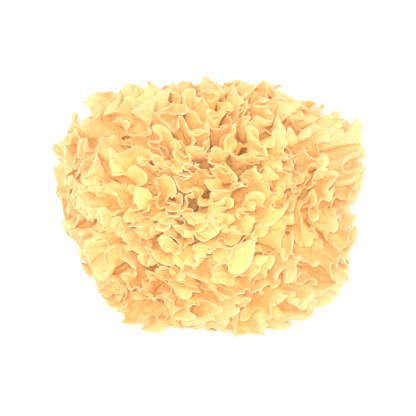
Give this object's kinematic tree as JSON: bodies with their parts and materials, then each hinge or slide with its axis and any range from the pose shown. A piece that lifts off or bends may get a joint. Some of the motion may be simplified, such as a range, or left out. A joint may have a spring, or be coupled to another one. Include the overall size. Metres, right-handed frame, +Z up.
{
  "type": "dried snow fungus head",
  "caption": "Dried head of snow fungus: thin ruffled fronds that fan out in rings from a hard foot, cut flat to rest on.",
  "frame": {"origin": "centre of the flat cut under the foot, on the surface that the head rests on", "axes": "+Z up through the crown, +X along the head's longest width, +Y to the top of the picture as the camera looks down"},
  "size_m": [0.1267, 0.1044, 0.0504],
  "materials": {
    "frond": "thin dried jelly, translucent golden cream, satin",
    "foot": "hard dried amber brown, matte"
  },
  "bodies": {
    "root": {"foot": "foot", "crown_frond": "frond", "inner_frond_1": "frond", "inner_frond_2": "frond", "inner_frond_3": "frond", "middle_frond_1": "frond", "middle_frond_2": "frond", "middle_frond_3": "frond", "middle_frond_4": "frond", "middle_frond_5": "frond", "outer_frond_1": "frond", "outer_frond_2": "frond", "outer_frond_3": "frond", "outer_frond_4": "frond", "outer_frond_5": "frond", "outer_frond_6": "frond", "outer_frond_7": "frond", "lower_frond_1": "frond", "lower_frond_2": "frond", "lower_frond_3": "frond", "lower_frond_4": "frond", "lower_frond_5": "frond", "lower_frond_6": "frond", "lower_frond_7": "frond", "lower_frond_8": "frond", "skirt_frond_1": "frond", "skirt_frond_2": "frond", "skirt_frond_3": "frond", "skirt_frond_4": "frond", "skirt_frond_5": "frond", "skirt_frond_6": "frond", "skirt_frond_7": "frond", "skirt_frond_8": "frond"}
  },
  "joints": []
}
